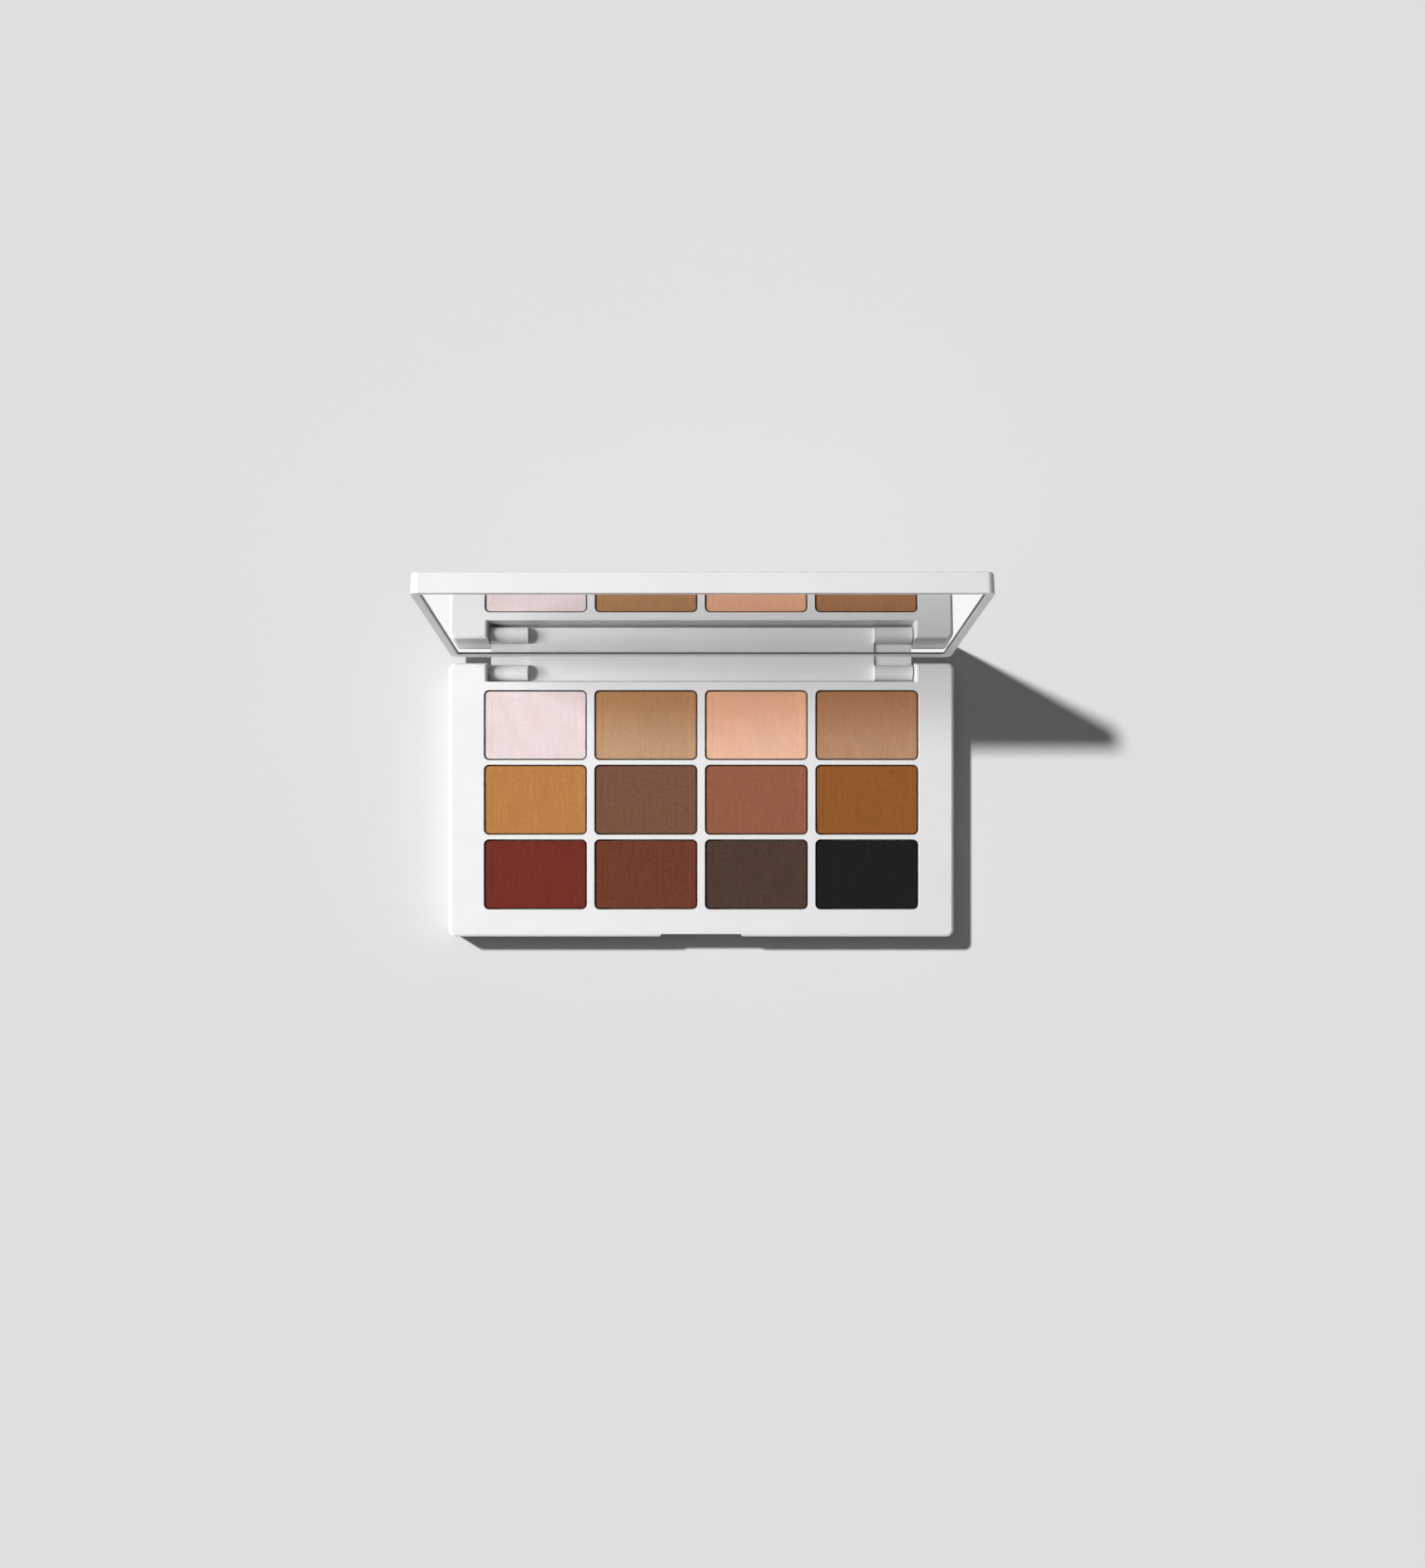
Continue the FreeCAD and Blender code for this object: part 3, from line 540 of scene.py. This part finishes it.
def silvered_glass(name):
    """The mirror's face: bright silver under glass, with barely a haze."""
    dull, bright = (0.77, 0.775, 0.775), (0.81, 0.815, 0.815)
    g = Graph(name)
    haze = g.noise(9 * MM, detail=4.0, roughness=0.6)
    specks = g.noise(0.8 * MM)
    gloss = g.math("ADD", g.fade(haze, 0.4, 0.8, high=0.012), g.fade(specks, 0.72, 0.85, 0.008, 0.03))
    return g.finish(Base_Color=g.mix(haze, dull, bright), Metallic=1.0, Roughness=gloss)


def glass_edge_painted_dark(name):
    """The mirror's ground bevel and edge: grey-green glass, finely frosted, and coloured near black as
    painted shade for the dark line round the mirror.
    """
    clear, frosted = (0.035, 0.042, 0.040), (0.075, 0.085, 0.082)
    least_roughness, swing = 0.25, 0.3
    g = Graph(name)
    frost = g.noise(0.09 * MM, detail=3.0, roughness=0.7)
    gloss = g.math("MULTIPLY_ADD", frost, swing, least_roughness)
    skin = g.bump(frost, 0.004 * MM, strength=0.8)
    return g.finish(Base_Color=g.mix(frost, clear, frosted), Roughness=gloss, Normal=skin, IOR=1.52,
                    Specular_IOR_Level=0.6)


def mirror_paint(name):
    """The grey paint that protects the silver at the back."""
    thick, thin = (0.20, 0.20, 0.21), (0.27, 0.27, 0.28)
    g = Graph(name)
    coat = g.noise(2.2 * MM, detail=4.0, roughness=0.6)
    skin = g.bump(coat, 0.03 * MM, strength=0.5)
    return g.finish(Base_Color=g.mix(coat, thick, thin), Roughness=0.6, Normal=skin)


def rounded_outline(centre, half_wide, half_deep, corner):
    """Points round a rectangle with round corners, counter-clockwise."""
    points = []
    for quarter, (side_x, side_y) in enumerate(((1, 1), (-1, 1), (-1, -1), (1, -1))):
        middle_x = centre.x + side_x * (half_wide - corner)
        middle_y = centre.y + side_y * (half_deep - corner)
        for step in range(MIRROR_CORNER_STEPS + 1):
            angle = QUARTER_TURN * (quarter + step / MIRROR_CORNER_STEPS)
            points.append((middle_x + corner * math.cos(angle), middle_y + corner * math.sin(angle)))
    return points


def make_mirror():
    """A sheet of mirror glass with a ground edge, drawn with the lid closed and turned open.

    The silver is behind the glass, so it looks a little sunk: the ground edge stands round it as a low
    wall, coloured near black as painted shade.
    """
    low, high = closed_box("mirror_glass")
    centre, half = (low + high) / 2, (high - low) / 2
    # From the back to the silver: how far in from the outline, and the height.
    levels = [
        (BEVEL, high.z),
        (0.0, high.z - BEVEL),
        (0.0, low.z + BEVEL),
        (BEVEL, low.z),
        (BEVEL + LAND, low.z),
        (BEVEL + LAND, low.z + SUNK),
    ]
    bm = bmesh.new()
    rings = []
    for inward, z in levels:
        outline = rounded_outline(centre, half.x - inward, half.y - inward, MIRROR_CORNER - inward)
        rings.append([bm.verts.new(CLOSED_TO_OPEN @ Vector((x, y, z))) for x, y in outline])
    bm.faces.new(rings[0]).material_index = PAINT
    for upper, lower in zip(rings, rings[1:]):
        for i in range(len(upper)):
            following = (i + 1) % len(upper)
            band = bm.faces.new((upper[i], upper[following], lower[following], lower[i]))
            band.material_index = EDGE
    bm.faces.new(rings[-1][::-1]).material_index = SILVER
    bmesh.ops.recalc_face_normals(bm, faces=bm.faces)
    # In the order of SILVER, EDGE and PAINT.
    mirror = mesh_object("mirror_sheet", bm, silvered_glass("mirror_silver"),
                         glass_edge_painted_dark("mirror_edge_painted_shade"), mirror_paint("mirror_back_paint"))
    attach(mirror, "lid")
    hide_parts("mirror_glass")


# ---------------------------------------------------------------- floor, light and camera

SHEET_HALF = 4.0
SHEET_SQUARES = 8
GLOW_SHEET_DEPTH = 0.1 * MM      # the glowing sheet that the mirror shows lies this far under the floor
# How brightly that sheet glows in reflections: a painted reflection, it lights nothing.
GLOW_SHEET_STRENGTH = 1.09
# The slope of the shadows that each of the palette's lamps casts.
PALETTE_SLOPES = ((0.85, -0.4), (1.2, -0.15), (1.0, 0.0), (2.4, -0.3), (1.9, 0.1))


def flat_sheet(name, material, level):
    """A wide level sheet, which isn't part of the palette."""
    bm = bmesh.new()
    bmesh.ops.create_grid(bm, x_segments=SHEET_SQUARES, y_segments=SHEET_SQUARES, size=SHEET_HALF)
    sheet = mesh_object(name, bm, material)
    sheet.location.z = level
    return sheet


def make_floor():
    """A plain pale sheet that the palette lies on. Mirrors and gloss don't show it."""
    darker, lighter = (0.40, 0.40, 0.40), (0.41, 0.41, 0.41)
    g = Graph("floor_paper")
    cloud = g.noise(0.25)
    fibre = g.noise(0.5 * MM, detail=3.0)
    material = g.finish(Base_Color=g.mix(cloud, darker, lighter), Roughness=0.9,
                        Normal=g.bump(fibre, 0.01 * MM, strength=0.2), Specular_IOR_Level=0.1)
    floor = flat_sheet("floor", material, 0.0)
    floor.visible_glossy = False
    return floor


def make_mirror_glow_sheet():
    """A glowing white sheet, which is no lamp, that the mirror sees in place of the floor: a painted
    reflection of the floor without its shadow.
    """
    g = Graph("mirror_glow_sheet")
    # Painted reflection: the sheet glows by itself, and only mirrors and gloss see it.
    glow = g.add("ShaderNodeEmission", {"Color": (1.0, 1.0, 1.0), "Strength": GLOW_SHEET_STRENGTH})
    glow_sheet = flat_sheet("mirror_glow_sheet", g.output(glow), -GLOW_SHEET_DEPTH)
    glow_sheet.visible_camera = False
    glow_sheet.visible_diffuse = False
    glow_sheet.visible_shadow = False
    glow_sheet.visible_transmission = False


def disk_lamp(name, slope, distance, diameter, watts):
    """A round lamp whose shadows run slope = (x, y) metres sideways for each metre of height."""
    data = bpy.data.lights.new(name, "AREA")
    data.shape = "DISK"
    data.size = diameter
    data.energy = watts
    lamp = scene_object(name, data)
    towards = Vector((slope[0], slope[1], -1.0)).normalized()
    lamp.location = -towards * distance
    lamp.rotation_euler = towards.to_track_quat("-Z", "Y").to_euler()
    return lamp


def sun_lamp(name, slope, angle, strength):
    """A lamp too far away to fade over the floor, with the same kind of slope. The angle softens it."""
    data = bpy.data.lights.new(name, "SUN")
    data.angle = angle
    data.energy = strength
    lamp = scene_object(name, data)
    towards = Vector((slope[0], slope[1], -1.0))
    lamp.rotation_euler = towards.to_track_quat("-Z", "Y").to_euler()
    return lamp


def collection_of(name, objects):
    group = bpy.data.collections.new(name)
    for item in objects:
        group.objects.link(item)
    return group


def light_scene(floor):
    """Two lamps for the floor alone, and five equal ones at the left for the palette alone."""
    shown = [o for o in bpy.context.scene.objects if o.type == "MESH" and "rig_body" in o]
    palette = collection_of("palette_pieces", shown)
    ground = collection_of("ground", [floor])

    key = sun_lamp("floor_key", slope=(0.62, -0.39), angle=math.radians(3.5), strength=6.2)
    fill = disk_lamp("floor_fill", slope=(0, 0), distance=2.2, diameter=2.4, watts=9)
    for lamp in (key, fill):
        lamp.light_linking.receiver_collection = ground
    for number, slope in enumerate(PALETTE_SLOPES):
        lamp = disk_lamp(f"left_{number}", slope, distance=1.6, diameter=0.32, watts=8)
        lamp.light_linking.receiver_collection = palette


def make_backdrop():
    """A pale surround: bright where it is seen or mirrored, and only a faint light on what is matte."""
    seen, faint = 0.72, 0.077
    world = bpy.data.worlds.new("studio")
    world.use_nodes = True
    nodes, links = world.node_tree.nodes, world.node_tree.links

    def math_node(operation, a, b, c=0.0):
        node = nodes.new("ShaderNodeMath")
        node.operation = operation
        for socket, value in zip(node.inputs, (a, b, c)):
            if isinstance(value, float):
                socket.default_value = value
            else:
                links.new(value, socket)
        return node.outputs[0]

    ray = nodes.new("ShaderNodeLightPath").outputs
    straight = math_node("LESS_THAN", ray["Diffuse Depth"], 0.5)
    mirrored = math_node("MULTIPLY", ray["Is Glossy Ray"], straight)
    either = math_node("MAXIMUM", ray["Is Camera Ray"], mirrored)
    background = nodes["Background"]
    background.inputs["Color"].default_value = (1.0, 1.0, 1.0, 1.0)
    links.new(math_node("MULTIPLY_ADD", either, seen - faint, faint), background.inputs["Strength"])
    bpy.context.scene.world = world


def make_camera():
    """Straight above the palette, a little in front of its middle, as a product camera hangs."""
    to_left, in_front, above_deck = 2.74 * MM, 28.13 * MM, 527.98 * MM
    data = bpy.data.cameras.new("camera")
    data.sensor_width = 36.0
    data.lens = 40.86
    data.shift_x = 0.01305
    data.shift_y = 0.0705
    camera = scene_object("camera", data)
    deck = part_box("base_deck")[1].z
    camera.location = (-to_left, -in_front, deck + above_deck)
    bpy.context.scene.camera = camera


dress_cad_parts()
make_cakes()
make_mirror()
light_scene(make_floor())
make_mirror_glow_sheet()
make_backdrop()
make_camera()
bpy.context.scene.view_settings.view_transform = "Standard"
